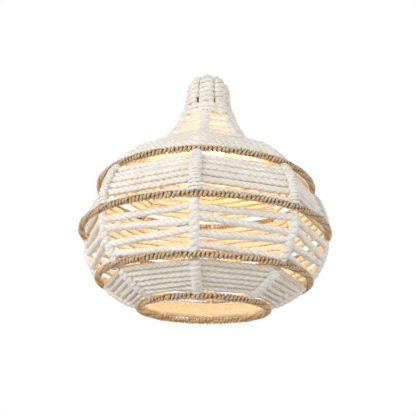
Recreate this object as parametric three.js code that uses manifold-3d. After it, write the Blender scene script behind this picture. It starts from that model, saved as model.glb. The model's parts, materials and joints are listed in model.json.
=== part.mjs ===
// Hanging lantern: a rope-wound wire shade with a neck, an E27 lampholder clamped in the neck and a
// round lamp. Millimetres, +Z up. The origin is the middle of the cord gland's top face, where the
// flex that carries the whole lantern goes in.

import * as THREE from 'three';
import Module from 'manifold-3d';
import { mergeVertices } from 'three/addons/utils/BufferGeometryUtils.js';

const wasm = await Module();
wasm.setup();

// ---------------------------------------------------------------- driving dimensions

const GAP = 0.3;                // clearance that separate touching pieces keep
const RIB_COUNT = 8;
const FIRST_RIB_DEG = -94;      // azimuth of rib 1, near the front
const WIRE_R = 2;               // frame wire
const JUTE_R = 4.25;            // twine-wrapped ring, outside
const TWINE_PARTING_R = 3.2;    // the twine parts this far either side of a welded rib
const ROPE_R = 5.2;             // cotton rope
const OPEN_ROPE_R = 4.3;        // the rope where it is stretched round the flare and the collar
const LACING_ROPE_R = 4.7;
const NECK_WRAP_R = 8.6;        // rope coiled round one rib of the neck
const HANG_HEIGHT = 296;        // gland top above the plane of the widest ring
const WIRE_SIDES = 5;           // facets round a wire, a rope and a twine-wrapped ring
const ROPE_SIDES = 6;
const NECK_WRAP_SIDES = 8;
const RIB_STEP = 20;            // rib samples per drawn stretch of wire
const WINDING_STEPS = 4;        // heights drawn up a close winding

// Ring centre lines: radius, and height above the widest ring.
const RINGS = {
  bottom: { r: 102, z: -119 },
  lower: { r: 168.5, z: -76.5 },
  middle: { r: 200, z: 0 },
  upper: { r: 177, z: 77.5 },
};
const TOP_RING = { r: 18, z: 292 };
const FITTER = { z: 236, thick: 2, holeR: 21.3, outerR: 31.8 };

// Rib centre line from the bottom ring to the top ring: radius and height.
const RIB_PROFILE = [
  [99.7, -115.4], [134, -98.5], [165.2, -73.9], [187.5, -37], [195.7, 0], [190, 40], [173, 75.9],
  [155, 94], [139.5, 109], [120, 122], [97, 135], [75.5, 156], [56, 183], [45, 206], [37, 226],
  [33, 246], [31.8, 260], [30.2, 272], [27, 281.5], [19, 288],
];

// Heights, above the widest ring, that each winding covers.
const LOWER_WINDING = { from: -110.2, to: -79.2 };
const UPPER_WINDING = { from: 5.8, to: 69.8 };
const SHOULDER_WINDING = { from: 81.2, to: 130, offset: WIRE_R + ROPE_R + 2 * GAP };
const FLARE_WINDING = { from: 141, to: 197, turns: 3 };
const COLLAR = { from: 206.5, to: 224.5, turns: 2 };
const NECK_WRAP = { from: 238.5, to: 283.5 };

// Where the lacing turns, as shares of the drop from the middle ring to the lower ring.
const LACING_RIGHT = [0.18, 0.45, 0.58, 0.88];
const LACING_LEFT = [0.21, 0.36, 0.65, 0.81];

// Lampholder and lamp: heights above the widest ring.
const HOLDER = {
  threadR: 19.6, boreR: 16.6, shoulderR: 22.4, bottom: 198, shoulderTop: 248, capTop: 273,
  capWall: 2.2, insertBottom: 235.5, insertTop: 246,
};
const LOCK_RING = { outerR: 29, thick: 8, grips: 24, gripDepth: 0.9 };
const CLAMP_WASHER = { outerR: 27.5, thick: 1 };
const SCREW_SHELL = { r: 14.6, wall: 0.7, bottom: 209, top: 235 };
const GLAND = { hexR: 9, nutTop: 296, boreR: 3.6, threadR: 5, bodyTop: 290, sealTop: 293 };
const LAMP = {
  capR: 13.1, tip: 233.6, capTop: 229, capBottom: 206.5, collarBottom: 176, domeBottom: 124,
  collarTopR: 14, globeR: 30, wall: 1.4,
};

// ---------------------------------------------------------------- materials

function material(color, roughness, metalness = 0) {
  return new THREE.MeshStandardMaterial({ color, roughness, metalness });
}

const cotton = material(0xebebe4, 0.95);
const jute = material(0xb89a6e, 0.95);
const frameSteel = material(0xe4dfd2, 0.5, 0.3);
const holderPlastic = material(0xf0eee8, 0.4);
const ceramic = material(0xf4f2ec, 0.3);
const brass = material(0xc9a24a, 0.35, 1);
const nickel = material(0xc8c8c4, 0.3, 1);
const opal = material(0xfff2d8, 0.35);
const lampPlastic = material(0xf2f1ee, 0.45);
const blackGlass = material(0x1c1c20, 0.25);
const aluminium = material(0xd0d2d4, 0.4, 1);
const rubber = material(0x2c2c2c, 0.9);

// ---------------------------------------------------------------- solids and booleans

function toManifold(geometry) {
  const bare = geometry.clone();
  bare.deleteAttribute('normal');
  bare.deleteAttribute('uv');
  const merged = mergeVertices(bare, 1e-4);
  return new wasm.Manifold(new wasm.Mesh({
    numProp: 3,
    vertProperties: new Float32Array(merged.attributes.position.array),
    triVerts: new Uint32Array(merged.index.array),
  }));
}

function toGeometry(solid) {
  const mesh = solid.getMesh();
  const geometry = new THREE.BufferGeometry();
  geometry.setAttribute('position', new THREE.BufferAttribute(new Float32Array(mesh.vertProperties), 3));
  geometry.setIndex(new THREE.BufferAttribute(new Uint32Array(mesh.triVerts), 1));
  return geometry;
}

// Cuts every cutter away and keeps the largest body, without the slivers that a cut can leave.
function subtract(geometry, cutters) {
  let solid = toManifold(geometry);
  for (const cutter of cutters) solid = solid.subtract(toManifold(cutter));
  const bodies = solid.decompose().sort((a, b) => b.volume() - a.volume());
  return toGeometry(bodies[0]);
}

function indexedGeometry(points, triangles) {
  const geometry = new THREE.BufferGeometry();
  geometry.setFromPoints(points);
  geometry.setIndex(triangles);
  return geometry;
}

// A solid of revolution about Z from a closed outline of [radius, height] pairs.
function turned(outline, segments = 32) {
  const closed = [...outline, outline[0]];
  const points = closed.map(([r, z]) => new THREE.Vector2(r, z));
  return new THREE.LatheGeometry(points, segments).rotateX(Math.PI / 2);
}

function torus(radius, tubeR, sides, height) {
  const segments = 3 * RIB_COUNT;
  return new THREE.TorusGeometry(radius, tubeR, sides, segments)
    .rotateZ(THREE.MathUtils.degToRad(FIRST_RIB_DEG)).translate(0, 0, height);
}

// A tube along straight stretches, mitred where they meet and closed at both ends.
function polylineTube(points, radius, sides) {
  const directions = points.slice(1).map((p, i) => p.clone().sub(points[i]).normalize());
  const first = directions[0];
  const up = Math.abs(first.z) > 0.9 ? new THREE.Vector3(1, 0, 0) : new THREE.Vector3(0, 0, 1);
  const u = new THREE.Vector3().crossVectors(up, first).normalize();
  const v = new THREE.Vector3().crossVectors(first, u);
  let ring = Array.from({ length: sides }, (_, i) => {
    const a = (2 * Math.PI * (i + 0.5)) / sides;
    const corner = points[0].clone().addScaledVector(u, radius * Math.cos(a));
    return corner.addScaledVector(v, radius * Math.sin(a));
  });
  const vertices = [...ring];
  for (let i = 1; i < points.length; i += 1) {
    const along = directions[i - 1];
    const normal = i < directions.length ? along.clone().add(directions[i]).normalize() : along;
    ring = ring.map((p) => {
      const distance = points[i].clone().sub(p).dot(normal) / along.dot(normal);
      return p.clone().addScaledVector(along, distance);
    });
    vertices.push(...ring);
  }
  const triangles = [];
  for (let i = 0; i + 1 < points.length; i += 1) {
    for (let j = 0; j < sides; j += 1) {
      const a = i * sides + j;
      const b = i * sides + ((j + 1) % sides);
      triangles.push(a, b, b + sides, a, b + sides, a + sides);
    }
  }
  const last = (points.length - 1) * sides;
  for (let j = 1; j + 1 < sides; j += 1) {
    triangles.push(0, j + 1, j);
    triangles.push(last, last + j, last + j + 1);
  }
  return indexedGeometry(vertices, triangles);
}

// ---------------------------------------------------------------- the rib line

const ribCurve = new THREE.CatmullRomCurve3(
  RIB_PROFILE.map(([r, z]) => new THREE.Vector3(r, 0, z)), false, 'centripetal',
);
const RIB_SAMPLES = ribCurve.getPoints(400);

function azimuth(rib) {
  return THREE.MathUtils.degToRad(FIRST_RIB_DEG + (360 * rib) / RIB_COUNT);
}

function polar(radius, height, angle) {
  return new THREE.Vector3(radius * Math.cos(angle), radius * Math.sin(angle), height);
}

// The rib's radius and outward normal at a height; heights grow steadily along the rib.
function ribAt(height) {
  const last = RIB_SAMPLES.length - 1;
  let i = RIB_SAMPLES.findIndex((p) => p.z >= height);
  i = Math.min(Math.max(i, 1), last);
  const [a, b] = [RIB_SAMPLES[i - 1], RIB_SAMPLES[i]];
  const t = (height - a.z) / (b.z - a.z);
  const run = Math.hypot(b.x - a.x, b.z - a.z);
  return { r: a.x + t * (b.x - a.x), z: height, nr: (b.z - a.z) / run, nz: -(b.x - a.x) / run };
}

function offsetPoint(height, offset, angle) {
  const at = ribAt(height);
  return polar(at.r + at.nr * offset, at.z + at.nz * offset, angle);
}

function ribHeights(from, to, count) {
  return Array.from({ length: count }, (_, i) => from + ((to - from) * i) / (count - 1));
}

function ribPoints(rib, step) {
  const picked = RIB_SAMPLES.filter((_, i) => i % step === 0);
  return picked.map((p) => polar(p.x, p.z, azimuth(rib)));
}

const ribClearances = Array.from({ length: RIB_COUNT }, (_, rib) =>
  polylineTube(ribPoints(rib, RIB_STEP), WIRE_R + GAP, WIRE_SIDES));

// ---------------------------------------------------------------- the frame

function ringWire(ring) {
  return torus(ring.r, WIRE_R, WIRE_SIDES, ring.z);
}

function ribWire(rib) {
  return polylineTube(ribPoints(rib, RIB_STEP), WIRE_R, WIRE_SIDES);
}

// The flat ring inside the neck that the lampholder is clamped in; its rim is welded to the ribs.
function fitterRing() {
  const { z, thick, holeR, outerR } = FITTER;
  return turned([[holeR, z - thick], [outerR, z - thick], [outerR, z], [holeR, z]]);
}

// ---------------------------------------------------------------- twine and rope

// The opening in the twine where a rib is welded on the inner side of a ring.
function weldWindow(ring, rib) {
  const { nr, nz } = ribAt(ring.z);
  const start = 1.2;
  const depth = 2 * JUTE_R - start;
  const inward = start + depth / 2;
  return new THREE.BoxGeometry(depth, 2 * TWINE_PARTING_R, 3 * JUTE_R)
    .rotateY(Math.atan2(-nz, nr))
    .translate(ring.r - nr * inward, 0, ring.z - nz * inward)
    .rotateZ(azimuth(rib));
}

// Twine wound round a ring; the welded ribs break through its inner side.
function juteWrap(ring) {
  const outside = torus(ring.r, JUTE_R, ROPE_SIDES, ring.z);
  const wireSpace = torus(ring.r, WIRE_R + GAP, WIRE_SIDES, ring.z);
  const windows = Array.from({ length: RIB_COUNT }, (_, rib) => weldWindow(ring, rib));
  return subtract(outside, [wireSpace, ...windows]);
}

// Rope wound tightly round all the ribs: an eight-sided shell as thick as the rope. The rows lie between
// the ribs, or outside them by an offset.
function windingShell({ from, to, offset = 0 }) {
  const heights = ribHeights(from, to, WINDING_STEPS);
  const vertices = [];
  for (const side of [ROPE_R, -ROPE_R]) {
    for (const height of heights) {
      for (let rib = 0; rib < RIB_COUNT; rib += 1) {
        vertices.push(offsetPoint(height, offset + side, azimuth(rib)));
      }
    }
  }
  const wall = heights.length * RIB_COUNT;
  const triangles = [];
  const quad = (a, b, c, d) => triangles.push(a, b, c, a, c, d);
  for (let k = 0; k < RIB_COUNT; k += 1) {
    const next = (k + 1) % RIB_COUNT;
    for (let row = 0; row + 1 < heights.length; row += 1) {
      const low = row * RIB_COUNT;
      const high = low + RIB_COUNT;
      quad(low + k, low + next, high + next, high + k);
      quad(wall + low + next, wall + low + k, wall + high + k, wall + high + next);
    }
    const top = (heights.length - 1) * RIB_COUNT;
    quad(next, k, wall + k, wall + next);
    quad(top + k, top + next, wall + top + next, wall + top + k);
  }
  return subtract(indexedGeometry(vertices, triangles), ribClearances);
}

// Rope wound openly, climbing round the outside of the ribs in straight stretches.
function openWinding({ from, to, turns }) {
  const steps = turns * RIB_COUNT;
  const offset = WIRE_R + OPEN_ROPE_R + 3 * GAP;
  const points = ribHeights(from, to, steps + 1).map((height, i) => offsetPoint(height, offset, azimuth(i)));
  return polylineTube(points, OPEN_ROPE_R, ROPE_SIDES);
}

// One rope laced to and fro between two neighbouring ribs, in pairs at each side.
function middleLacing(panel) {
  const { z: high } = RINGS.middle;
  const { z: low } = RINGS.lower;
  const clearance = WIRE_R + LACING_ROPE_R + 2 * GAP;
  const place = (rib, other, share) => {
    const height = high + (low - high) * share;
    const here = offsetPoint(height, 0, azimuth(rib));
    const inward = offsetPoint(height, 0, azimuth(other)).sub(here).normalize();
    return here.addScaledVector(inward, clearance);
  };
  const [r1, r2, r3, r4] = LACING_RIGHT.map((share) => place(panel + 1, panel, share));
  const [l1, l2, l3, l4] = LACING_LEFT.map((share) => place(panel, panel + 1, share));
  return polylineTube([r1, l1, l2, r2, r3, l3, l4, r4], LACING_ROPE_R, ROPE_SIDES);
}

// Rope coiled round one rib of the neck: a sleeve, open at both ends for the rib.
function neckWrap(rib) {
  const heights = ribHeights(NECK_WRAP.from, NECK_WRAP.to, 5);
  const points = heights.map((height) => offsetPoint(height, 0, azimuth(rib)));
  return subtract(polylineTube(points, NECK_WRAP_R, NECK_WRAP_SIDES), [ribClearances[rib]]);
}

// ---------------------------------------------------------------- the lampholder

// The body: a shoulder above the fitter ring and a threaded skirt through it.
function holderBody() {
  const { threadR, boreR, shoulderR, bottom, shoulderTop } = HOLDER;
  const seat = FITTER.z + GAP;
  return turned([
    [boreR, bottom], [threadR, bottom], [threadR, seat], [shoulderR, seat],
    [shoulderR, shoulderTop - 4], [shoulderR - 2.5, shoulderTop - 4], [shoulderR - 2.5, shoulderTop],
    [boreR, shoulderTop],
  ], 24);
}

// The cap over the terminals, with a hole at the top for the gland's thread.
function holderCap() {
  const { shoulderR, shoulderTop, capTop, capWall } = HOLDER;
  const foot = shoulderTop - 4 + GAP;
  const holeR = GLAND.threadR + GAP;
  const innerR = shoulderR - 2.5 + GAP;
  return turned([
    [shoulderR, foot], [shoulderR, shoulderTop + 6], [shoulderR - 4, capTop - 7], [12, capTop],
    [holeR, capTop], [holeR, capTop - capWall], [10.5, capTop - capWall],
    [shoulderR - 4 - capWall, capTop - 8], [innerR - 1.5, shoulderTop + 5],
    [innerR - 1.5, shoulderTop + GAP], [innerR, shoulderTop + GAP], [innerR, foot],
  ], 20);
}

// The ceramic insert that carries the contacts; two blind holes take the terminal screws.
function holderInsert() {
  const { boreR, insertBottom, insertTop } = HOLDER;
  const outerR = boreR - GAP;
  const disc = turned([[0, insertBottom], [outerR, insertBottom], [outerR, insertTop], [0, insertTop]], 28);
  const screwHoles = [-1, 1].map((side) =>
    new THREE.CylinderGeometry(2 + GAP, 2 + GAP, 8, 10).rotateX(Math.PI / 2)
      .translate(9 * side, 0, insertTop));
  return subtract(disc, screwHoles);
}

function terminalScrew(side) {
  const { insertTop } = HOLDER;
  const screw = turned([
    [0, insertTop - 3.4], [1.9, insertTop - 3.4], [1.9, insertTop + 0.6], [3.3, insertTop + 0.6],
    [3.3, insertTop + 2.4], [0, insertTop + 2.4],
  ], 12);
  const slot = new THREE.BoxGeometry(8, 0.8, 2).translate(0, 0, insertTop + 2.6);
  return subtract(screw, [slot]).translate(9 * side, 0, 0);
}

// The sprung tongue that meets the lamp's tip, bent down from the insert.
function centreContact() {
  const top = HOLDER.insertBottom - GAP;
  const outline = new THREE.Shape([
    new THREE.Vector2(-9, top), new THREE.Vector2(-9, top - 0.5), new THREE.Vector2(-5, top - 0.5),
    new THREE.Vector2(-1.5, LAMP.tip + GAP), new THREE.Vector2(2.5, LAMP.tip + GAP),
    new THREE.Vector2(2.5, LAMP.tip + GAP + 0.5), new THREE.Vector2(-1.1, LAMP.tip + GAP + 0.5),
    new THREE.Vector2(-4.6, top),
  ]);
  return new THREE.ExtrudeGeometry(outline, { depth: 5, bevelEnabled: false })
    .translate(0, 0, -2.5).rotateX(Math.PI / 2);
}

// A wavy wall of revolution: rolled screw thread drawn as grooves.
function threadOutline(outerR, bottom, top, depth, pitch) {
  const turns = Math.floor((top - bottom) / pitch);
  const outline = [];
  for (let i = 0; i < turns; i += 1) {
    const z = bottom + i * pitch;
    outline.push([outerR - depth, z], [outerR, z + pitch / 2]);
  }
  outline.push([outerR - depth, bottom + turns * pitch]);
  return outline;
}

const E27_PITCH = 3.63;

function screwShell() {
  const { r, wall, bottom, top } = SCREW_SHELL;
  const inside = threadOutline(r - wall, bottom, top, 0.6, E27_PITCH).reverse();
  return turned([[r, bottom], [r, inside[0][1]], ...inside], 16);
}

// The fibre washer between the fitter ring and the lock ring; it doesn't turn with the ring.
function clampWasher() {
  const top = FITTER.z - FITTER.thick - GAP;
  const { outerR, thick } = CLAMP_WASHER;
  const innerR = HOLDER.threadR + GAP;
  return turned([[innerR, top - thick], [outerR, top - thick], [outerR, top], [innerR, top]], 28);
}

// The ring screwed up under the washer, with grips round its rim.
function lockRing() {
  const { outerR, thick, grips, gripDepth } = LOCK_RING;
  const top = FITTER.z - FITTER.thick - CLAMP_WASHER.thick - 2 * GAP;
  const innerR = HOLDER.threadR + GAP;
  const rim = new THREE.Shape();
  for (let i = 0; i < 2 * grips; i += 1) {
    const a = (Math.PI * i) / grips;
    const r = i % 2 ? outerR : outerR - gripDepth;
    if (i === 0) rim.moveTo(r * Math.cos(a), r * Math.sin(a));
    else rim.lineTo(r * Math.cos(a), r * Math.sin(a));
  }
  rim.closePath();
  const hole = new THREE.Path();
  hole.absarc(0, 0, innerR, 0, 2 * Math.PI, true);
  rim.holes.push(hole);
  return new THREE.ExtrudeGeometry(rim, { depth: thick, bevelEnabled: false, curveSegments: 16 })
    .translate(0, 0, top - thick);
}

// ---------------------------------------------------------------- the cord gland

function hexPrism(acrossCornersR, bottom, top, boreR) {
  const height = top - bottom;
  const prism = new THREE.CylinderGeometry(acrossCornersR, acrossCornersR, height, 6)
    .rotateX(Math.PI / 2).translate(0, 0, (bottom + top) / 2);
  const bore = new THREE.CylinderGeometry(boreR, boreR, height + 2, 16)
    .rotateX(Math.PI / 2).translate(0, 0, (bottom + top) / 2);
  return subtract(prism, [bore]);
}

// The gland's body: a hollow thread down through the cap and a collar that rests on the cap.
function glandBody() {
  const seat = HOLDER.capTop + GAP;
  const { threadR, boreR, bodyTop } = GLAND;
  return turned([
    [boreR, 262], [threadR, 262], [threadR, seat], [8, seat], [8, seat + 4], [threadR, seat + 4],
    [threadR, bodyTop], [boreR, bodyTop],
  ], 20);
}

function glandLockNut() {
  const top = HOLDER.capTop - HOLDER.capWall - GAP;
  return hexPrism(8, top - 4, top, GLAND.threadR + GAP);
}

function glandNut() {
  const bottom = HOLDER.capTop + 4 + 2 * GAP;
  const { hexR, nutTop, threadR, boreR, sealTop } = GLAND;
  const blank = hexPrism(hexR, bottom, nutTop, boreR);
  const spaceR = threadR + GAP;
  const threadSpace = [[0, bottom - 1], [spaceR, bottom - 1], [spaceR, sealTop], [0, sealTop]];
  return subtract(blank, [turned(threadSpace, 16)]);
}

function glandSeal() {
  const { threadR, boreR, bodyTop, sealTop } = GLAND;
  const low = bodyTop + GAP;
  const high = sealTop - GAP;
  return turned([[boreR, low], [threadR, low], [threadR, high], [boreR, high]], 16);
}

// ---------------------------------------------------------------- the lamp

function lampCap() {
  const { capR, capTop, capBottom } = LAMP;
  const outside = threadOutline(capR, capBottom + 3, capTop - 1, 0.9, E27_PITCH);
  return turned([
    [capR - 1.5, capBottom], [capR, capBottom], ...outside, [9, capTop], [8, capTop - 0.8],
    [capR - 2, capTop - 3],
  ], 16);
}

function lampCapInsulator() {
  const { capTop, tip } = LAMP;
  return turned([
    [0, capTop + GAP], [8.8, capTop + GAP], [5, tip - 1.6], [0, tip - 1.6],
  ], 20);
}

function lampTipContact() {
  const { tip } = LAMP;
  return turned([[0, tip - 1.6 + GAP], [4.4, tip - 1.6 + GAP], [3.4, tip - 0.3], [0, tip]], 16);
}

// The white collar between the screw cap and the globe; hollow, with its driver space open upward.
function lampCollar() {
  const { capR, capBottom, collarBottom, collarTopR, globeR, wall } = LAMP;
  const top = capBottom - GAP;
  const rimR = globeR - 2.5;
  return turned([
    [rimR - 4, collarBottom], [rimR, collarBottom], [rimR - 1.4, collarBottom + 8],
    [collarTopR + 0.6, top - 10], [collarTopR, top], [capR - 3, top], [capR - 3, top - 2],
    [collarTopR + 0.6 - wall, top - 11], [rimR - 3.6, collarBottom + 8], [rimR - 4, collarBottom + 4],
  ], 24);
}

function lampLedBoard() {
  const top = LAMP.collarBottom + 3.6;
  const r = LAMP.globeR - 7;
  const board = turned([[0, top - 1.6], [r, top - 1.6], [r, top], [0, top]], 28);
  const cableHole = new THREE.CylinderGeometry(2, 2, 6, 10).rotateX(Math.PI / 2).translate(0, 0, top);
  return subtract(board, [cableHole]);
}

// The opal globe: a thin bowl, open at the rim that sits under the collar.
function lampGlobe() {
  const { globeR, collarBottom, domeBottom, wall } = LAMP;
  const rim = collarBottom - GAP;
  const rimR = globeR - 2.5;
  const centre = domeBottom + globeR;
  const shell = (r) => {
    const start = Math.asin(Math.min(1, (rim - centre) / r));
    const points = [];
    for (let i = 0; i <= 7; i += 1) {
      const a = start - ((start + Math.PI / 2) * i) / 7;
      points.push([Math.max(0, r * Math.cos(a)), centre + r * Math.sin(a)]);
    }
    return points;
  };
  const outside = shell(globeR);
  const inside = shell(globeR - wall).reverse();
  outside[0][0] = Math.min(outside[0][0], rimR);
  return turned([...inside, ...outside].reverse(), 20);
}

// ---------------------------------------------------------------- assembly

const lantern = new THREE.Group();
lantern.position.z = -HANG_HEIGHT;

function add(name, geometry, mat) {
  const mesh = new THREE.Mesh(geometry, mat);
  mesh.name = name;
  lantern.add(mesh);
}

for (const [name, ring] of Object.entries(RINGS)) {
  add(`ring_wire_${name}`, ringWire(ring), frameSteel);
  add(`jute_wrap_${name}`, juteWrap(ring), jute);
}
add('ring_wire_top', torus(TOP_RING.r - WIRE_R, WIRE_R, WIRE_SIDES, TOP_RING.z), frameSteel);
add('fitter_ring', fitterRing(), frameSteel);

for (let rib = 0; rib < RIB_COUNT; rib += 1) {
  add(`rib_wire_${rib + 1}`, ribWire(rib), frameSteel);
  add(`middle_lacing_${rib + 1}`, middleLacing(rib), cotton);
  add(`neck_wrap_${rib + 1}`, neckWrap(rib), cotton);
}

add('lower_rope_winding', windingShell(LOWER_WINDING), cotton);
add('upper_rope_winding', windingShell(UPPER_WINDING), cotton);
add('shoulder_rope_winding', windingShell(SHOULDER_WINDING), cotton);
add('flare_rope_winding', openWinding(FLARE_WINDING), cotton);
add('collar_rope', openWinding(COLLAR), cotton);

add('holder_body', holderBody(), holderPlastic);
add('holder_cap', holderCap(), holderPlastic);
add('holder_insert', holderInsert(), ceramic);
add('holder_screw_shell', screwShell(), brass);
add('holder_centre_contact', centreContact(), brass);
add('terminal_screw_live', terminalScrew(-1), brass);
add('terminal_screw_neutral', terminalScrew(1), brass);
add('shade_clamp_washer', clampWasher(), rubber);
add('shade_lock_ring', lockRing(), holderPlastic);

add('cord_gland_body', glandBody(), holderPlastic);
add('cord_gland_lock_nut', glandLockNut(), nickel);
add('cord_gland_nut', glandNut(), holderPlastic);
add('cord_gland_seal', glandSeal(), rubber);

add('lamp_screw_cap', lampCap(), nickel);
add('lamp_cap_insulator', lampCapInsulator(), blackGlass);
add('lamp_tip_contact', lampTipContact(), brass);
add('lamp_collar', lampCollar(), lampPlastic);
add('lamp_led_board', lampLedBoard(), aluminium);
add('lamp_globe', lampGlobe(), opal);

export default lantern;
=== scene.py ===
import json
import math

import bpy
import numpy as np
from mathutils import Matrix, Vector


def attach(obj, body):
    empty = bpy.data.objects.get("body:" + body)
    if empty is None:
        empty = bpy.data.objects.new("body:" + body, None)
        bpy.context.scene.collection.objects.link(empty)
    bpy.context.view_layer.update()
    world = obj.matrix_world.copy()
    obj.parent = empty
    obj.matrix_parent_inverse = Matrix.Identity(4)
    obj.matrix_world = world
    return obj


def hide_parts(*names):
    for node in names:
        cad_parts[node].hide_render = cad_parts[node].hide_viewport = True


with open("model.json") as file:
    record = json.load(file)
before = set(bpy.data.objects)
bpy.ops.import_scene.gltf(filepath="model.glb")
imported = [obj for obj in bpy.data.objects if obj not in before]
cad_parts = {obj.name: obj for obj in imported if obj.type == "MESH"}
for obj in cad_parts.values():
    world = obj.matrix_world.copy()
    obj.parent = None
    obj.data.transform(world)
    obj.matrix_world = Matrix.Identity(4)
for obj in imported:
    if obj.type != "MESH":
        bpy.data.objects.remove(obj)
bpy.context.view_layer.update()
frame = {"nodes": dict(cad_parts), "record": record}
dice = np.random.default_rng(7)

# ---------------------------------------------------------------- sizes

MM = 0.001
RIB_COUNT = 8
WIRE_R = 2.0 * MM               # frame wire
RIB_STEP = 0.5 * MM             # between the points of a rib's curve

STRANDS = 4                     # braid strands each way round a rope
REPEAT = 4                      # a strand goes over two others, then under two
CELLS = 6                       # mesh cells across one strand, so that grooves follow the mesh
SIDES = STRANDS * CELLS
STITCH = 10.0 * MM              # rope length that one strand crosses
STRAND_DEPTH = 1.15 * MM        # how deep the grooves between strands are
ROPE_STEP = STITCH / CELLS
FUZZ = 0.04 * MM                # unevenness of a fibre surface
HAIRS_PER_METRE = 500
ROPE_HAIR = 2.6 * MM            # length of a loose fibre
ROPE_HAIR_R = 0.09 * MM
ROW_WOBBLE = 0.35 * MM          # hand-wound unevenness
ROW_BEND = 9 * MM               # a row starts to bend this far before a rib

COIL_STEPS = 34                 # points in one turn of a coil round a rib
TUCKED_OUT = 0.3                # a tucked end's share of the coil's distance from the wire,
TUCKED_THICK = 0.8              # and of its thickness

COVER_FLAT = 0.42               # a rib cover's rope, thickness against width
COVER_WIDEN = 1.2               # its half width against half its pitch, so that turns close up
COVER_FROM = 5.0 * MM           # a rib cover starts this far above one ring
COVER_TO = 4.5 * MM             # and ends this far below the next
COVER_TUCK = 16 * MM            # and closes in on its rib over this length
FLARE_COVER_LOW = 126 * MM      # the flare's covers, above the widest ring
FLARE_COVER_HIGH = 204 * MM
FLARE_COVER_THICK = 3.8 * MM
FLARE_COVER_WIDE = 7.2 * MM

CLEARANCE = 0.6 * MM            # between the neck's ropes and the holder's parts
NECK_PITCH = 9.8 * MM
NECK_THICK = 8.6 * MM
NECK_SHARE = 0.425              # half a column's width against the rib circle's radius there
NECK_FLAT = 0.66
NECK_WIDEN = 1.05
COLLAR_TOP = 229 * MM           # where the neck's columns start, above the widest ring
NECK_TOP_GAP = 0.5 * MM         # from the columns' top to the ribs' ends

LACING_R = 5.7 * MM             # the laced rope, stretched less than the wound rows
LACING_OUT = 1.5 * MM           # its line at a rib, outward from the wire
LACING_SHORT = 2.0 * MM         # and short of the rib
LACING_BEND = 5 * MM
LACING_RIGHT = (0.18, 0.45, 0.58, 0.88)     # where a panel's rope turns at its right-hand rib, and
LACING_LEFT = (0.21, 0.36, 0.65, 0.81)      # at its left, as shares of the middle band's height

TWINE_PITCH = 6.0 * MM          # ring length that one turn of twine covers
TWINE_R = 3.2 * MM              # half the width of a turn
TWINE_RISE = 1.1                # its thickness, outward from the wire, against its width
TWINE_DEPTH = 1.1 * MM          # how deep the grooves between its plies and turns are
TWINE_SIDES = 14
TWINE_TURN_STEPS = 20           # mesh rings in one turn
TWINE_DRIFT = 0.1               # how far a turn strays along its ring, against the pitch
HAIRS_PER_TURN = 10
TWINE_HAIR = 4.5 * MM
TWINE_HAIR_R = 0.11 * MM


def add_object(name, data):
    """A new object in the scene."""
    thing = bpy.data.objects.new(name, data)
    bpy.context.scene.collection.objects.link(thing)
    return thing


# ---------------------------------------------------------------- the camera

CAMERA_POSITION = Vector((0.0098, -1.0057, -0.6111))
CAMERA_PITCH = math.radians(20.06)
CAMERA_YAW = math.radians(-0.33)
CAMERA_ROLL = math.radians(1.17)
FOCAL_LENGTH = 55.4             # millimetres, as is the sensor
SENSOR_WIDTH = 36
NEAREST_SEEN = 0.01


def make_camera():
    """A viewpoint in front of the lantern and below it, looking up."""
    sight = Vector((math.sin(CAMERA_YAW) * math.cos(CAMERA_PITCH),
                    math.cos(CAMERA_YAW) * math.cos(CAMERA_PITCH),
                    math.sin(CAMERA_PITCH)))
    level = Vector((math.cos(CAMERA_YAW), -math.sin(CAMERA_YAW), 0))
    upright = level.cross(sight)
    right = math.cos(CAMERA_ROLL) * level + math.sin(CAMERA_ROLL) * upright
    up = math.cos(CAMERA_ROLL) * upright - math.sin(CAMERA_ROLL) * level
    data = bpy.data.cameras.new("camera")
    data.lens = FOCAL_LENGTH
    data.sensor_width = SENSOR_WIDTH
    data.clip_start = NEAREST_SEEN
    camera = add_object("camera", data)
    turn = Matrix((right, up, -sight)).transposed()
    camera.matrix_world = Matrix.Translation(CAMERA_POSITION) @ turn.to_4x4()
    bpy.context.scene.camera = camera


make_camera()

# ---------------------------------------------------------------- places, read from the frame


def node_corners(name):
    """A CAD node's distinct corners, one row of x, y, z each, to the micrometre."""
    corners = np.array([v.co for v in frame["nodes"][name].data.vertices])
    return np.unique(corners.round(6), axis=0)


def ring_line(name):
    """Radius and height of a wire ring's centre line."""
    corners = node_corners(name)
    radius = np.hypot(corners[:, 0], corners[:, 1]).max() - WIRE_R
    return radius, (corners[:, 2].min() + corners[:, 2].max()) / 2


def rib_line(name):
    """A rib's azimuth, and its centre line as rows of radius and height, lowest first."""
    corners = node_corners(name)
    across = 2.1 * WIRE_R
    centres = []
    for corner in corners:
        near = np.linalg.norm(corners - corner, axis=1) < across
        centres.append(corners[near].mean(axis=0))
    centres = np.unique(np.array(centres).round(5), axis=0)
    centres = centres[np.argsort(centres[:, 2])]
    azimuth = math.atan2(centres[:, 1].sum(), centres[:, 0].sum())
    line = np.column_stack([np.hypot(centres[:, 0], centres[:, 1]), centres[:, 2]])
    return azimuth, line


RING_NAMES = ("bottom", "lower", "middle", "upper")
RINGS = {name: ring_line(f"ring_wire_{name}") for name in RING_NAMES}
WIDEST = RINGS["middle"][1]     # height of the widest ring
AZIMUTHS = [rib_line(f"rib_wire_{k + 1}")[0] for k in range(RIB_COUNT)]
RIB = rib_line("rib_wire_1")[1]


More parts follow.
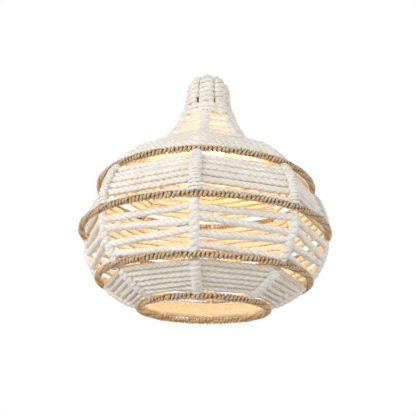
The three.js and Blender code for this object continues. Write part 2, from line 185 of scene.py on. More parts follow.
def smooth_line(points, step):
    """A Catmull-Rom curve through the points, resampled at an even step."""
    points = np.asarray(points, float)
    padded = np.vstack([2 * points[0] - points[1], points, 2 * points[-1] - points[-2]])
    fine_steps = 12
    t = np.linspace(0, 1, fine_steps, endpoint=False)[:, None]
    parts = []
    for a, b, c, d in zip(padded, padded[1:], padded[2:], padded[3:]):
        parts.append(0.5 * (2 * b + (c - a) * t + (2 * a - 5 * b + 4 * c - d) * t ** 2
                            + (3 * b - a - 3 * c + d) * t ** 3))
    return resampled(np.vstack(parts + [points[-1:]]), step, closed=False)


def resampled(points, step, closed):
    """The same line with evenly spaced points, about one step apart."""
    if closed:
        points = np.vstack([points, points[:1]])
    distance = np.concatenate([[0], np.cumsum(np.linalg.norm(np.diff(points, axis=0), axis=1))])
    count = max(4, round(distance[-1] / step))
    even = np.linspace(0, distance[-1], count + 1)
    line = np.column_stack([np.interp(even, distance, column) for column in points.T])
    return line[:-1] if closed else line


RIB_CURVE = smooth_line(RIB, RIB_STEP)
RIB_SLOPE = np.gradient(RIB_CURVE, axis=0)
RIB_SLOPE /= np.linalg.norm(RIB_SLOPE, axis=1)[:, None]


def rib_at_height(height):
    """The distance along the rib where it reaches a height."""
    return np.interp(height, RIB_CURVE[:, 1], np.arange(len(RIB_CURVE)) * RIB_STEP)


def rib_point(distance, out):
    """Radius and height at a distance along the rib, moved outward from the wire."""
    at = np.asarray(distance) / RIB_STEP
    index = np.arange(len(RIB_CURVE))
    radius = np.interp(at, index, RIB_CURVE[:, 0]) + out * np.interp(at, index, RIB_SLOPE[:, 1])
    height = np.interp(at, index, RIB_CURVE[:, 1]) - out * np.interp(at, index, RIB_SLOPE[:, 0])
    return radius, height


def on_rib(rib, distance, out):
    """The same as a point in space, on rib 0 to 7."""
    radius, height = rib_point(distance, out)
    azimuth = AZIMUTHS[rib % RIB_COUNT]
    return np.array([radius * math.cos(azimuth), radius * math.sin(azimuth), height])


# ---------------------------------------------------------------- mesh tools


def unit(vectors):
    """The vectors at length 1."""
    shortest = 1e-12
    return vectors / np.maximum(np.linalg.norm(vectors, axis=-1, keepdims=True), shortest)


def rounded(points, cut, closed):
    """The polyline with each corner turned into a short curve that starts `cut` before it."""
    points = np.asarray(points, float)
    last = len(points) - 1
    curve_points = 8
    longest_share = 0.45
    t = np.linspace(0, 1, curve_points)[:, None]
    parts = []
    for i, here in enumerate(points):
        if not closed and i in (0, last):
            parts.append(here[None])
            continue
        before = points[i - 1] - here
        after = points[(i + 1) % len(points)] - here
        start = here + before * min(longest_share, cut / np.linalg.norm(before))
        end = here + after * min(longest_share, cut / np.linalg.norm(after))
        parts.append((1 - t) ** 2 * start + 2 * t * (1 - t) * here + t ** 2 * end)
    return np.vstack(parts)


def wavering(count, amount, waves):
    """Smooth random unevenness along a line, the same at both ends."""
    at = np.linspace(0, 2 * math.pi, count, endpoint=False)
    total = np.zeros(count)
    for wave in range(1, waves + 1):
        total += dice.normal() * np.sin(wave * at + dice.uniform(0, 2 * math.pi))
    return amount * total / math.sqrt(waves)


def crossing(a, b, strand_a, strand_b, swell):
    """Height of a two-over-two braid inside one crossing of strand a over or under strand b."""
    a_on_top = (strand_a - strand_b) % REPEAT < REPEAT / 2
    lap = (strand_a - strand_b) // REPEAT
    across = np.where(a_on_top, a / CELLS - strand_a, b / CELLS - strand_b) - 0.5
    along = np.where(a_on_top, strand_a + 1 - b / CELLS, a / CELLS - strand_b - 2) % REPEAT
    arch = np.sin(math.pi / 2 * np.clip(along, 0, 2))
    which = np.where(a_on_top, strand_a - 2 * lap, strand_b + 2 * lap) % swell.shape[2]
    plump = swell[a_on_top.astype(int), lap % 2, which]
    rim = np.sqrt(np.clip(1 - (2 * across) ** 2, 0, 1))
    at_ends = 0.4
    return plump * rim * (at_ends + (1 - at_ends) * np.sqrt(np.clip(arch, 0, 1)))


def braid(count):
    """Braid height over the rings and sides of a rope's mesh: 0 in the grooves, about 1 on top."""
    ring, side = np.meshgrid(np.arange(count), np.arange(SIDES), indexing="ij")
    a, b = ring + side, ring - side
    thinnest, plumpest = 0.75, 1.15
    swell = dice.uniform(thinnest, plumpest, size=(2, 2, max(1, count // CELLS)))
    height = np.full(a.shape, np.inf)
    for back_a in (0, 1):
        for back_b in (0, 1):
            here = crossing(a, b, (a - back_a) // CELLS, (b - back_b) // CELLS, swell)
            height = np.minimum(height, here)
    return height


def tube_faces(rings, sides, closed):
    """Quads of a tube of rings, and the triangles that close an open one on its two pole points."""
    i, j = np.meshgrid(np.arange(rings if closed else rings - 1), np.arange(sides), indexing="ij")
    following = (i + 1) % rings
    beside = (j + 1) % sides
    quads = np.stack([i * sides + j, i * sides + beside, following * sides + beside,
                      following * sides + j], axis=-1).reshape(-1, 4)
    if closed:
        return quads, np.zeros((0, 3), int)
    k = np.arange(sides)
    top = (rings - 1) * sides
    first = np.stack([np.full(sides, rings * sides), (k + 1) % sides, k], axis=1)
    last = np.stack([np.full(sides, rings * sides + 1), top + k, top + (k + 1) % sides], axis=1)
    return quads, np.vstack([first, last])


class Shape:
    """Vertices, quads, triangles and groove shades of a piece, gathered tube by tube."""

    def __init__(self):
        self.vertices = []
        self.quads = []
        self.triangles = []
        self.grooves = []
        self.count = 0

    def add(self, vertices, quads, triangles, grooves):
        self.quads.append(quads + self.count)
        self.triangles.append(triangles + self.count)
        self.vertices.append(vertices)
        self.grooves.append(grooves)
        self.count += len(vertices)


def frame_along(line, outward, closed):
    """The line's direction at each point, outward made square to it, and the way across both."""
    ahead = np.roll(line, -1, axis=0) - np.roll(line, 1, axis=0)
    if not closed:
        ahead[0] = line[1] - line[0]
        ahead[-1] = line[-1] - line[-2]
    ahead = unit(ahead)
    out = unit(outward - (outward * ahead).sum(axis=1)[:, None] * ahead)
    return ahead, out, np.cross(ahead, out)


def sweep(shape, line, outward, radius, closed, height, depth, squeeze, roll=0.0, seam=0.0):
    """Adds a tube along a line.

    height is the relief over its rings and sides, depth its scale, squeeze the tube's size outward
    and sideways, roll turns the relief round the line, and seam marks the sides, like the grooves,
    for painted shade."""
    count, sides = height.shape
    ahead, out, side = frame_along(line, outward, closed)
    angle = 2 * math.pi * np.arange(sides)[None, :] / sides
    angle = angle + np.broadcast_to(roll, (count,))[:, None]
    fuzz = dice.normal(scale=FUZZ, size=(count, sides))
    full = radius[:, None] - depth * (1 - height) + fuzz
    if not closed:
        step = np.linalg.norm(line[1] - line[0])
        from_end = np.minimum(np.arange(count), count - 1 - np.arange(count)) * step
        dome = np.clip(1 - from_end / radius, 0, 1)
        smallest_tip = 0.02
        full = full * np.sqrt(np.clip(1 - dome ** 2, smallest_tip, 1))[:, None]
    rim = (full * np.cos(angle) * squeeze[0])[:, :, None] * out[:, None, :]
    rim = rim + (full * np.sin(angle) * squeeze[1])[:, :, None] * side[:, None, :]
    vertices = (line[:, None, :] + rim).reshape(-1, 3)
    # The groove attribute marks low relief, and by the seam weight the sides where rows touch, for
    # painted shade in the material
    at_side = np.abs(np.sin(angle)) ** 6
    grooves = np.maximum(np.clip(1 - height, 0, 1), seam * at_side).reshape(-1)
    if not closed:
        vertices = np.vstack([vertices, line[:1], line[-1:]])
        grooves = np.append(grooves, [0, 0])
    quads, triangles = tube_faces(count, sides, closed)
    shape.add(vertices, quads, triangles, grooves)


def hairs(shape, line, outward, closed, reach, number, length, radius):
    """Adds loose fibres that curl off a tube: thin closed three-sided spikes."""
    scatter = 1.2
    least_lift = 0.35
    curl = 0.6
    shortest, longest = 0.4, 1.3
    root_depth = 0.86
    ahead, out, side = frame_along(line, outward, closed)
    at = dice.integers(1, len(line) - 1, number)
    turn = dice.uniform(0, 2 * math.pi, number)[:, None]
    normal = out[at] * np.cos(turn) + side[at] * np.sin(turn)
    heading = unit(normal + scatter * dice.normal(size=(number, 3)))
    lift = np.clip(least_lift - (heading * normal).sum(axis=1), 0, 2)
    heading = unit(heading + normal * lift[:, None])
    bend = dice.normal(size=(number, 3)) * curl
    size = length * dice.uniform(shortest, longest, number)[:, None]
    across = unit(np.cross(heading, ahead[at]))
    other = np.cross(heading, across)
    root = line[at] + normal * reach * root_depth
    rings = []
    for share in (0.0, 0.35, 0.7):
        centre = root + size * (share * heading + share ** 2 * bend)
        for corner in range(3):
            angle = 2 * math.pi * corner / 3
            offset = across * math.cos(angle) + other * math.sin(angle)
            rings.append(centre + radius * (1 - share) * offset)
    rings.append(root + size * (heading + bend))
    vertices = np.stack(rings, axis=1).reshape(-1, 3)
    first = len(rings) * np.arange(number)[:, None, None]
    walls = [[r + k, r + (k + 1) % 3, r + 3 + (k + 1) % 3, r + 3 + k]
             for r in (0, 3) for k in range(3)]
    ends = [[0, 2, 1]] + [[6 + k, 6 + (k + 1) % 3, 9] for k in range(3)]
    quads = (first + np.array(walls)[None]).reshape(-1, 4)
    triangles = (first + np.array(ends)[None]).reshape(-1, 3)
    shape.add(vertices, quads, triangles, np.zeros(len(vertices)))


def rope(shape, line, outward, closed, radius, squeeze=(1.0, 1.0), depth=STRAND_DEPTH, seam=0.0):
    """Adds a braided rope along an evenly spaced line; outward faces away from what it lies on."""
    count = len(line)
    roll = dice.uniform(0, 2 * math.pi) + wavering(count, amount=0.5, waves=5)
    plump = radius * (1 + wavering(count, amount=0.018, waves=max(4, count // 40)))
    sweep(shape, line, outward, plump, closed, braid(count), depth, squeeze, roll, seam)
    length = count * ROPE_STEP
    number = round(HAIRS_PER_METRE * length)
    reach = radius * min(squeeze)
    hairs(shape, line, outward, closed, reach, number, ROPE_HAIR, ROPE_HAIR_R)


def from_axis(line):
    """Outward from the lantern's axis."""
    return unit(line * np.array([1, 1, 0]))


def make_piece(name, shape, material, slot, *replaced):
    """Turns a gathered shape into a piece of the lantern's body that stands for CAD nodes."""
    quads = np.vstack(shape.quads)
    triangles = np.vstack(shape.triangles)
    mesh = bpy.data.meshes.new(name)
    mesh.vertices.add(shape.count)
    mesh.vertices.foreach_set("co", np.vstack(shape.vertices).astype(np.float32).ravel())
    mesh.loops.add(quads.size + triangles.size)
    corners = np.concatenate([quads.ravel(), triangles.ravel()])
    mesh.loops.foreach_set("vertex_index", corners.astype(np.int32))
    mesh.polygons.add(len(quads) + len(triangles))
    starts = np.concatenate([4 * np.arange(len(quads)), quads.size + 3 * np.arange(len(triangles))])
    mesh.polygons.foreach_set("loop_start", starts.astype(np.int32))
    mesh.polygons.foreach_set("use_smooth", np.ones(len(starts), bool))
    mesh.update(calc_edges=True)
    groove = mesh.attributes.new("groove", "FLOAT", "POINT")
    groove.data.foreach_set("value", np.concatenate(shape.grooves).astype(np.float32))
    mesh.materials.append(material)
    piece = add_object(name, mesh)
    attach(piece, "lantern")
    if replaced:
        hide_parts(*replaced)


# ---------------------------------------------------------------- materials


def new_material(name):
    """An empty material, with its nodes, links and Principled shader."""
    material = bpy.data.materials.new(name)
    material.use_nodes = True
    nodes = material.node_tree.nodes
    return material, nodes, material.node_tree.links, nodes["Principled BSDF"]


def noise_node(nodes, links, scale, detail):
    """Noise in the object's own metres; scale is in waves a metre."""
    place = nodes.new("ShaderNodeTexCoord")
    texture = nodes.new("ShaderNodeTexNoise")
    texture.inputs["Scale"].default_value = scale
    texture.inputs["Detail"].default_value = detail
    links.new(place.outputs["Object"], texture.inputs["Vector"])
    return texture.outputs["Fac"]


def ramp_node(nodes, links, source, low, low_colour, high, high_colour):
    """A colour that goes from one to the other as the source rises from low to high."""
    ramp = nodes.new("ShaderNodeValToRGB")
    stops = ((low, low_colour), (high, high_colour))
    for element, (at, colour) in zip(ramp.color_ramp.elements, stops):
        element.position = at
        element.color = (*colour, 1)
    links.new(source, ramp.inputs["Fac"])
    return ramp.outputs["Color"]


def mix_node(nodes, links, factor, first, second, blend="MIX"):
    """Two colours mixed; each input is a socket or a constant."""
    mix = nodes.new("ShaderNodeMix")
    mix.data_type = "RGBA"
    mix.blend_type = blend
    for socket, value in (("Factor", factor), ("A", first), ("B", second)):
        target = next(s for s in mix.inputs if s.name == socket and s.enabled)
        if isinstance(value, bpy.types.NodeSocket):
            links.new(value, target)
        elif socket == "Factor":
            target.default_value = value
        else:
            target.default_value = (*value, 1)
    return next(s for s in mix.outputs if s.enabled)


def bump_node(nodes, links, source, strength, distance):
    """A surface normal raised by the source."""
    bump = nodes.new("ShaderNodeBump")
    bump.inputs["Strength"].default_value = strength
    bump.inputs["Distance"].default_value = distance
    links.new(source, bump.inputs["Height"])
    return bump.outputs["Normal"]


def fibre_material(name, light, shade, groove_shade_colour, groove_shade_span, grain, glow):
    """A spun fibre: colour from broad and fine noise, painted shade in its grooves, with a fuzzy
    bump.
    """
    material, nodes, links, shader = new_material(name)
    black = (0, 0, 0)
    white = (1, 1, 1)
    handled = (0.93, 0.91, 0.87)
    fine = noise_node(nodes, links, grain, detail=3)
    broad = noise_node(nodes, links, 45, detail=2)
    groove = nodes.new("ShaderNodeAttribute")
    groove.attribute_name = "groove"
    colour = ramp_node(nodes, links, fine, 0.3, shade, 0.65, light)
    dirt = ramp_node(nodes, links, broad, 0.35, handled, 0.6, white)
    colour = mix_node(nodes, links, 1.0, colour, dirt, "MULTIPLY")
    low, high = groove_shade_span
    # painted shade: the colour turns towards the groove colour where the groove attribute marks
    # grooves and row seams
    depth = ramp_node(nodes, links, groove.outputs["Fac"], low, black, high, white)
    colour = mix_node(nodes, links, depth, colour, groove_shade_colour)
    links.new(colour, shader.inputs["Base Color"])
    shader.inputs["Roughness"].default_value = 0.95
    shader.inputs["Specular IOR Level"].default_value = 0.2
    shader.inputs["Subsurface Weight"].default_value = glow
    shader.inputs["Subsurface Radius"].default_value = (1.0, 0.75, 0.5)
    shader.inputs["Subsurface Scale"].default_value = 1.8 * MM
    fuzzy = bump_node(nodes, links, fine, strength=0.5, distance=0.4 * MM)
    links.new(fuzzy, shader.inputs["Normal"])
    return material


def hard_material(name, colour, roughness, metallic=0.0, coat=0.0, mottle=0.9):
    """Moulded, glazed or metal: a faint mottle in its colour and uneven polish."""
    material, nodes, links, shader = new_material(name)
    cloud = noise_node(nodes, links, 160, detail=3)
    darker = tuple(mottle * c for c in colour)
    duller = (roughness * 1.25,) * 3
    shinier = (roughness * 0.8,) * 3
    mottled = ramp_node(nodes, links, cloud, 0.3, darker, 0.7, colour)
    polish = ramp_node(nodes, links, cloud, 0.3, duller, 0.7, shinier)
    links.new(mottled, shader.inputs["Base Color"])
    links.new(polish, shader.inputs["Roughness"])
    shader.inputs["Metallic"].default_value = metallic
    shader.inputs["Coat Weight"].default_value = coat
    fine = noise_node(nodes, links, 2500, detail=2)
    pitted = bump_node(nodes, links, fine, strength=0.08, distance=0.1 * MM)
    links.new(pitted, shader.inputs["Normal"])
    return material


LAMP_COLOUR = (1.0, 0.65, 0.28)
LAMP_STRENGTH = 11.0


def globe_material():
    """Opal diffuser, lit: its light and its milky white both vary a little."""
    material, nodes, links, shader = new_material("opal_globe")
    cloud = noise_node(nodes, links, 60, detail=1)
    dimmer = tuple(0.94 * c for c in LAMP_COLOUR)
    glow = ramp_node(nodes, links, cloud, 0.3, dimmer, 0.7, LAMP_COLOUR)
    links.new(glow, shader.inputs["Emission Color"])
    shader.inputs["Emission Strength"].default_value = LAMP_STRENGTH
    milk = ramp_node(nodes, links, cloud, 0.3, (0.86, 0.83, 0.76), 0.7, (0.9, 0.88, 0.82))
    links.new(milk, shader.inputs["Base Color"])
    shader.inputs["Roughness"].default_value = 0.35
    return material


# Cotton: painted shade in the braid's grooves and row seams, tinted tan as painted warm lamp light
# leaking between the strands
COTTON = fibre_material("cotton_rope", light=(0.885, 0.87, 0.84), shade=(0.80, 0.78, 0.74),
                        groove_shade_colour=(0.72, 0.57, 0.37), groove_shade_span=(0.5, 1.0),
                        grain=900, glow=0.12)
# Jute: near-black painted shade in the gaps between the twine's turns and plies
JUTE = fibre_material("jute_twine", light=(0.81, 0.63, 0.41), shade=(0.37, 0.23, 0.105),
                      groove_shade_colour=(0.10, 0.045, 0.015), groove_shade_span=(0.25, 0.85),
                      grain=600, glow=0.0)
MATERIALS = {
    "cotton_rope": COTTON,
    "jute_twine": JUTE,
    "frame_steel": hard_material("frame_steel", (0.80, 0.76, 0.68), 0.45),
    "holder_plastic": hard_material("holder_plastic", (0.84, 0.83, 0.80), 0.4, mottle=0.96),
    "porcelain": hard_material("porcelain", (0.88, 0.87, 0.84), 0.25, coat=0.5, mottle=0.96),
    "brass": hard_material("brass", (0.72, 0.53, 0.22), 0.35, metallic=1.0, mottle=0.8),
    "nickel": hard_material("nickel", (0.70, 0.69, 0.66), 0.28, metallic=1.0, mottle=0.88),
    "black_rubber": hard_material("black_rubber", (0.03, 0.03, 0.03), 0.7),
    "fibre": hard_material("fibre", (0.16, 0.10, 0.07), 0.75, mottle=0.7),
    "black_glass": hard_material("black_glass", (0.02, 0.02, 0.03), 0.15),
    "aluminium": hard_material("aluminium", (0.80, 0.81, 0.82), 0.45, metallic=1.0),
    "lamp_plastic": hard_material("lamp_plastic", (0.88, 0.87, 0.84), 0.4, mottle=0.97),
    "opal_globe": globe_material(),
}


def dress_cad_nodes():
    """Gives every CAD node the material of its slot in the record."""
    for subpart in frame["record"]["subparts"]:
        materials = frame["nodes"][subpart["node"]].data.materials
        materials.clear()
        materials.append(MATERIALS[subpart["material_slot"]])


# ---------------------------------------------------------------- rope rows


def covered(node):
    """The distances along the ribs between which a CAD winding lies."""
    corners = node_corners(node)
    spots = np.column_stack([np.hypot(corners[:, 0], corners[:, 1]), corners[:, 2]])
    azimuths = np.arctan2(corners[:, 1], corners[:, 0])
    close = 0.004
    on_a_rib = [np.abs(np.sin((azimuths - azimuth) / 2)) < close for azimuth in AZIMUTHS]
    spots = spots[np.any(on_a_rib, axis=0)]
    nearest = [np.argmin(np.linalg.norm(RIB_CURVE - spot, axis=1)) for spot in spots]
    return min(nearest) * RIB_STEP, max(nearest) * RIB_STEP


def even_loop(corners, closed):
    """A line of rope steps through the corners; a closed one has a whole number of stitches."""
    line = resampled(rounded(corners, ROW_BEND, closed), ROPE_STEP, closed)
    if not closed:
        return line
    length = len(line) * ROPE_STEP
    return resampled(line, length / (CELLS * round(len(line) / CELLS)), closed=True)


def row_loop(distance, out):
    """One turn of rope round the ribs, in straight stretches that sag and waver a little."""
    slip = 0.5 * MM
    corners = [on_rib(rib, distance + dice.normal(scale=slip), out) for rib in range(RIB_COUNT)]
    line = even_loop(corners, closed=True)
    line[:, 2] += wavering(len(line), ROW_WOBBLE, waves=30)
    return line + from_axis(line) * wavering(len(line), ROW_WOBBLE, waves=24)[:, None]


def rows(name, node, count, out, radius, depth=STRAND_DEPTH, crowding=1.0):
    """Close-wound rows of rope that stand for one CAD winding, each a piece of its own.

    crowding below 1 spreads the lowest rows apart and packs the highest."""
    start, end = covered(node)
    for row in range(count):
        shape = Shape()
        share = (row / (count - 1)) ** crowding
        distance = start + radius + (end - start - 2 * radius) * share
        line = row_loop(distance, out)
        # seam=1.0 gives the rows' sides, where they touch, painted shade tinted with warm lamp
        # light
        rope(shape, line, from_axis(line), closed=True, radius=radius, depth=depth, seam=1.0)
        make_piece(f"{name}_row_{row + 1}", shape, COTTON, "cotton_rope", node)


def spiral(name, node, low, high, turns, out, radius):
    """Rope that climbs round the ribs in one length, from the back, between two heights above
    the widest ring."""
    heights = WIDEST + np.linspace(low, high, turns * RIB_COUNT + 1)
    back = int(np.argmax(np.sin(AZIMUTHS)))
    corners = [on_rib(back + i, rib_at_height(height), out) for i, height in enumerate(heights)]
    line = even_loop(corners, closed=False)
    line[:, 2] += wavering(len(line), 1.6 * ROW_WOBBLE, waves=40)
    shape = Shape()
    rope(shape, line, from_axis(line), closed=False, radius=radius)
    make_piece(name, shape, COTTON, "cotton_rope", node)


# ---------------------------------------------------------------- ropes coiled round the ribs


def coil(name, rib, start, end, pitch, out, reach, radius, squeeze, *replaced,
         keep_out=None, tuck=0.0):
    """Rope coiled round one rib between two distances along it.

    out moves the coil's axis outward, reach is half its thickness and half its width at the rope's
    centre, as functions of height, and keep_out the radius that it stays outside of at a height.
    Over the length tuck at each end the coil closes in on its rib."""
    turns = (end - start) / pitch
    count = round(turns * COIL_STEPS)
    distance = np.linspace(start, end, count)
    turn = 2 * math.pi * (np.linspace(0, turns, count) + dice.uniform())
    open_share = np.ones(count)
    if tuck:
        open_share = np.clip(np.minimum(distance - start, end - distance) / tuck, 0, 1)
    at_radius, height = rib_point(distance, out * (TUCKED_OUT + (1 - TUCKED_OUT) * open_share))
    azimuth = AZIMUTHS[rib]
    radial = np.array([math.cos(azimuth), math.sin(azimuth), 0])
    sideways = np.array([-math.sin(azimuth), math.cos(azimuth), 0])
    upward = np.array([0, 0, 1])
    index = np.arange(len(RIB_SLOPE))
    normal = np.interp(distance / RIB_STEP, index, RIB_SLOPE[:, 1])[:, None] * radial
    normal = normal - np.interp(distance / RIB_STEP, index, RIB_SLOPE[:, 0])[:, None] * upward
    centre = at_radius[:, None] * radial + height[:, None] * upward
    thick, wide = reach(height)
    thick = thick * (TUCKED_THICK + (1 - TUCKED_THICK) * open_share)
    uneven = 1 + wavering(count, amount=0.03, waves=9)
    around = (thick * uneven * np.cos(turn))[:, None] * normal
    around = around + (wide * uneven * np.sin(turn))[:, None] * sideways
    line = centre + around
    if keep_out:
        inner = (line * radial).sum(axis=1)
        line = line + np.maximum(keep_out(line[:, 2]) - inner, 0)[:, None] * radial
    both = resampled(np.hstack([line, unit(around) * MM]), ROPE_STEP, closed=False)
    shape = Shape()
    rope(shape, both[:, :3], unit(both[:, 3:]), closed=False, radius=radius, squeeze=squeeze)
    make_piece(name, shape, COTTON, "cotton_rope", *replaced)


def rib_cover(rib, name, low_ring, high_ring, pitch, out, thick, wide):
    """Rope coiled round a rib from one ring to the next."""
    start = rib_at_height(RINGS[low_ring][1]) + COVER_FROM
    end = rib_at_height(RINGS[high_ring][1]) - COVER_TO
    inset = pitch / 2 * COVER_FLAT

    def reach(height):
        return thick - inset, wide - inset

    coil(f"{name}_{rib + 1}", rib, start, end, pitch, out, reach, pitch / 2 * COVER_WIDEN,
         (COVER_FLAT, 1.0), tuck=COVER_TUCK)


def flare_rib_cover(rib):
    """Rope coiled round a rib under the open turns of the flare."""
    start = rib_at_height(WIDEST + FLARE_COVER_LOW)
    end = rib_at_height(WIDEST + FLARE_COVER_HIGH)
    pitch = 7 * MM
    out = 3.4 * MM
    radius = 4.0 * MM

    def reach(height):
        return FLARE_COVER_THICK, FLARE_COVER_WIDE

    coil(f"flare_rib_cover_{rib + 1}", rib, start, end, pitch, out, reach, radius,
         (COVER_FLAT, 1.0))


INNER_PARTS = ("fitter_ring", "shade_lock_ring", "shade_clamp_washer", "holder_body", "holder_cap",
               "cord_gland_body", "cord_gland_lock_nut", "cord_gland_nut")


def inner_radius(height, margin):
    """The widest radius that the holder's parts reach within a margin of each height."""
    widest = np.zeros(len(height))
    for name in INNER_PARTS:
        corners = node_corners(name)
        beside = height > corners[:, 2].min() - margin
        beside = beside & (height < corners[:, 2].max() + margin)
        reach = np.hypot(corners[:, 0], corners[:, 1]).max()
        widest = np.where(beside, np.maximum(widest, reach), widest)
    return widest


def neck_column(rib):
    """Rope coiled round one rib from the collar up to the top ring; neighbours touch."""
    start = rib_at_height(WIDEST + COLLAR_TOP)
    end = (len(RIB_CURVE) - 1) * RIB_STEP - NECK_TOP_GAP
    radius = NECK_PITCH / 2 * NECK_WIDEN
    half = radius * NECK_FLAT

    def reach(height):
        at_radius = np.interp(height, RIB_CURVE[:, 1], RIB_CURVE[:, 0])
        return NECK_THICK - half, np.maximum(NECK_SHARE * at_radius, NECK_THICK) - half

    def keep_out(height):
        return inner_radius(height, radius) + half + CLEARANCE

    coil(f"neck_column_{rib + 1}", rib, start, end, NECK_PITCH, 0.0, reach, radius,
         (NECK_FLAT, 1.0), f"neck_wrap_{rib + 1}", keep_out=keep_out)


# ---------------------------------------------------------------- lacing in the middle band


def lacing(panel):
    """One rope laced to and fro between two ribs, hooked round each of them."""
    bottom = RINGS["lower"][1]
    right, left = 1, 0
    turns = ((right, LACING_RIGHT[0]), (left, LACING_LEFT[0]),
             (left, LACING_LEFT[1]), (right, LACING_RIGHT[1]),
             (right, LACING_RIGHT[2]), (left, LACING_LEFT[2]),
             (left, LACING_LEFT[3]), (right, LACING_RIGHT[3]))
    corners = []
    for side, share in turns:
        distance = rib_at_height(WIDEST + (bottom - WIDEST) * share)
        here = on_rib(panel + side, distance, LACING_OUT)
        other = on_rib(panel + 1 - side, distance, LACING_OUT)
        corners.append(here + unit(other - here) * LACING_SHORT)
    line = resampled(rounded(corners, LACING_BEND, closed=False), ROPE_STEP, closed=False)
    line += from_axis(line) * wavering(len(line), ROW_WOBBLE, waves=16)[:, None]
    line[:, 2] += wavering(len(line), 1.6 * ROW_WOBBLE, waves=20)
    shape = Shape()
    rope(shape, line, from_axis(line), closed=False, radius=LACING_R)
    node = f"middle_lacing_{panel + 1}"
    make_piece(f"laced_rope_{panel + 1}", shape, COTTON, "cotton_rope", node)


# ---------------------------------------------------------------- jute twine


def two_ply(count):
    """Height of a twine of two twisted plies over its mesh, lowest where its turns meet; low parts
    also get painted shade.
    """
    ring, side = np.meshgrid(np.arange(count), np.arange(TWINE_SIDES), indexing="ij")
    ply = TWINE_SIDES // 2
    between_plies = 0.35
    across = ((side - ring) % ply) / ply - 0.5
    facing_out = np.abs(np.cos(2 * math.pi * side / TWINE_SIDES))
    crown = between_plies + (1 - between_plies) * np.sqrt(1 - (2 * across) ** 2)
    return crown * facing_out ** 0.7


def jute_ring(name):
    """Twine wound tightly round one ring of the frame."""
    radius, height = RINGS[name]
    turns = round(2 * math.pi * radius / TWINE_PITCH)
    waves = turns // 2
    count = turns * TWINE_TURN_STEPS
    turn = 2 * math.pi * np.arange(count) / TWINE_TURN_STEPS
    drift = wavering(count, TWINE_DRIFT * TWINE_PITCH / radius, waves)
    azimuth = 2 * math.pi * np.arange(count) / count + drift
    reach = WIRE_R * (1 + wavering(count, 0.06, waves))
    radial = np.column_stack([np.cos(azimuth), np.sin(azimuth), np.zeros(count)])
    upward = np.array([0, 0, 1])
    outward = np.cos(turn)[:, None] * radial + np.sin(turn)[:, None] * upward
    line = radius * radial + height * upward + reach[:, None] * outward
    thickness = TWINE_R * (1 + wavering(count, 0.07, waves))
    squeeze = (TWINE_RISE, 1.0)
    shape = Shape()
    sweep(shape, line, outward, thickness, True, two_ply(count), TWINE_DEPTH, squeeze)
    hairs(shape, line, outward, True, TWINE_R * TWINE_RISE, HAIRS_PER_TURN * turns, TWINE_HAIR,
          TWINE_HAIR_R)
    make_piece(f"jute_ring_{name}", shape, JUTE, "jute_twine", f"jute_wrap_{name}")


# ---------------------------------------------------------------- room and light


FLOOR_SIDE = 400.0
FLOOR_DROP = 2.2                # below the lantern's origin
FLOOR_COLOUR = (0.86, 0.86, 0.85)
DAY_STRENGTH = 2.0
DAY_SPREAD = math.radians(20)
LIGHT_FROM_ABOVE = 0.13         # strength of the world as a light, over its upper half,
LIGHT_FROM_BELOW = 0.60         # and over its lower half
HORIZON = 0.1                   # half the rise over which the one turns into the other
GLOW_POWER = 0.56
GLOW_RADIUS = 0.04
GLOW_ABOVE_WIDEST = 45 * MM
STUDIO_LIGHTS = (               # name, place, side of the square, watts
    ("key", (-1.5, -1.7, 0.1), 2.2, 52),
    ("fill", (2.0, -1.1, 0.1), 2.0, 29),
    ("back", (0.6, 2.2, 0.1), 2.2, 34),
    ("top", (0.1, 0.3, 1.8), 1.6, 2),
)


def make_floor():
    """A wide pale floor, well below the lantern, with daylight of its own.

    It lights nothing itself: the world's lower half stands for the light that it sends back."""
    half = FLOOR_SIDE / 2
    corners = [(x, y, -FLOOR_DROP)
               for x, y in ((-half, -half), (half, -half), (half, half), (-half, half))]
    mesh = bpy.data.meshes.new("floor")
    mesh.from_pydata(corners, [], [(0, 1, 2, 3)])
    mesh.materials.append(hard_material("floor_paint", FLOOR_COLOUR, 0.8, mottle=0.98))
    floor = add_object("floor", mesh)
    floor.visible_diffuse = False
    floor.visible_glossy = False
    lit_by_day = bpy.data.collections.new("lit_by_day")
    lit_by_day.objects.link(floor)
    data = bpy.data.lights.new("day", "SUN")
    data.energy = DAY_STRENGTH
    data.angle = DAY_SPREAD
    day = add_object("day", data)
    day.light_linking.receiver_collection = lit_by_day


def make_world():
    """White to the eye, but a dimmer light, so that the lamp tells inside the shade."""
    world = bpy.data.worlds.new("studio")
    bpy.context.scene.world = world
    world.use_nodes = True
    nodes = world.node_tree.nodes
    links = world.node_tree.links
    seen = nodes["Background"]
    seen.inputs["Color"].default_value = (1, 1, 1, 1)
    seen.inputs["Strength"].default_value = 1.0
    light = nodes.new("ShaderNodeBackground")
    light.inputs["Color"].default_value = (1, 1, 1, 1)
    direction = nodes.new("ShaderNodeTexCoord")
    split = nodes.new("ShaderNodeSeparateXYZ")
    strength = nodes.new("ShaderNodeMapRange")
    strength.inputs["From Min"].default_value = -HORIZON
    strength.inputs["From Max"].default_value = HORIZON
    strength.inputs["To Min"].default_value = LIGHT_FROM_BELOW
    strength.inputs["To Max"].default_value = LIGHT_FROM_ABOVE
    links.new(direction.outputs["Generated"], split.inputs[0])
    links.new(split.outputs["Z"], strength.inputs["Value"])
    links.new(strength.outputs[0], light.inputs["Strength"])
    path = nodes.new("ShaderNodeLightPath")
    mix = nodes.new("ShaderNodeMixShader")
    links.new(path.outputs["Is Camera Ray"], mix.inputs[0])
    links.new(light.outputs[0], mix.inputs[1])
    links.new(seen.outputs[0], mix.inputs[2])
    links.new(mix.outputs[0], nodes["World Output"].inputs["Surface"])


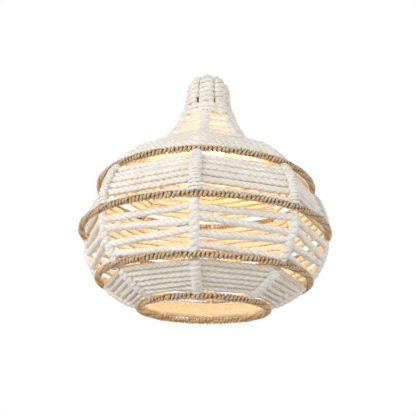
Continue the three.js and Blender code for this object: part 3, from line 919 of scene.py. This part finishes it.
def make_studio_lights():
    """Large soft square lights round the lantern, all turned to its widest ring."""
    aim = Vector((0, 0, WIDEST))
    for name, place, side, watts in STUDIO_LIGHTS:
        data = bpy.data.lights.new(name, "AREA")
        data.size = side
        data.energy = watts
        light = add_object(name, data)
        light.location = place
        light.rotation_euler = (aim - Vector(place)).to_track_quat("-Z", "Y").to_euler()


def make_lamp_glow():
    """The lamp's own light, spread through the shade."""
    data = bpy.data.lights.new("lamp_glow", "POINT")
    data.energy = GLOW_POWER
    data.color = LAMP_COLOUR
    data.shadow_soft_size = GLOW_RADIUS
    glow = add_object("lamp_glow", data)
    glow.location = (0, 0, WIDEST + GLOW_ABOVE_WIDEST)
    glow.visible_camera = False


# ---------------------------------------------------------------- assembly

dress_cad_nodes()
rows("lower", "lower_rope_winding", count=6, out=0.0, radius=4.65 * MM)
rows("upper", "upper_rope_winding", count=6, out=0.0, radius=5.4 * MM, crowding=0.88)
rows("shoulder", "shoulder_rope_winding", count=7, out=7.0 * MM, radius=5.4 * MM, depth=0.8 * MM)
spiral("flare_rope", "flare_rope_winding", low=137.5 * MM, high=205 * MM, turns=4,
       out=6.4 * MM, radius=5.0 * MM)
spiral("collar_turns", "collar_rope", low=206.5 * MM, high=226 * MM, turns=2,
       out=6.8 * MM, radius=4.9 * MM)
for rib in range(RIB_COUNT):
    rib_cover(rib, "lower_rib_cover", "bottom", "lower",
              pitch=8 * MM, out=2.4 * MM, thick=5.6 * MM, wide=7.4 * MM)
    rib_cover(rib, "middle_rib_cover", "lower", "middle",
              pitch=9 * MM, out=1.6 * MM, thick=6.2 * MM, wide=7.4 * MM)
    rib_cover(rib, "upper_rib_cover", "middle", "upper",
              pitch=5 * MM, out=3.2 * MM, thick=6.6 * MM, wide=8.6 * MM)
    flare_rib_cover(rib)
    lacing(rib)
    neck_column(rib)
for ring in RINGS:
    jute_ring(ring)
make_floor()
make_world()
make_studio_lights()
make_lamp_glow()
bpy.context.scene.view_settings.view_transform = "Standard"
